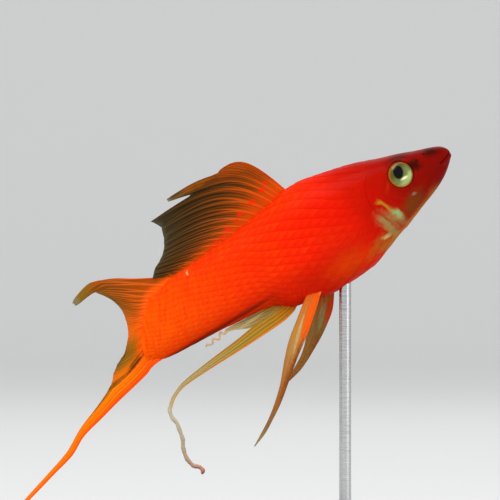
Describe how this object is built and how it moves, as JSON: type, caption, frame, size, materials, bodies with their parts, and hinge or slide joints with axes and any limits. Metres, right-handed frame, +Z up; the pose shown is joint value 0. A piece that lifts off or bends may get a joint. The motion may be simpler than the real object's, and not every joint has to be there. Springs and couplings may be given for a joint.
{
  "type": "lyretail swordtail fish model",
  "caption": "Life-size red lyretail swordtail, a small aquarium fish, held head up in swimming pose by a rod on a flat display base.",
  "frame": {"origin": "centre of the display base's underside, on the surface that the stand rests on", "axes": "+Z up; +X towards the fish's head, which is pitched about 31 degrees up; the fish's right side faces -Y"},
  "size_m": [0.0971, 0.042, 0.0824],
  "materials": {
    "skin": "wet, fine-scaled red fish skin, satin gloss",
    "eye": "clear gloss over a silver-green iris and black pupil",
    "fin": "thin translucent orange fin membrane with raised rays",
    "thread": "pale cream fin thread, satin",
    "clear_fin": "nearly clear fin membrane",
    "base": "satin black",
    "rod": "polished steel"
  },
  "bodies": {
    "root": {"head": "skin", "trunk": "skin", "tail_stalk": "skin", "eye_left": "eye", "eye_right": "eye", "dorsal_fin": "fin", "caudal_upper": "fin", "caudal_lower": "fin", "sword": "fin", "gonopodium": "fin", "gonopodium_thread": "thread", "anal_fin_rear": "fin", "anal_fin_thread": "thread", "pelvic_fin_right": "fin", "pelvic_fin_left": "fin", "pectoral_fin_right": "clear_fin", "pectoral_fin_left": "clear_fin", "stand_base": "base", "stand_rod": "rod"}
  },
  "joints": []
}
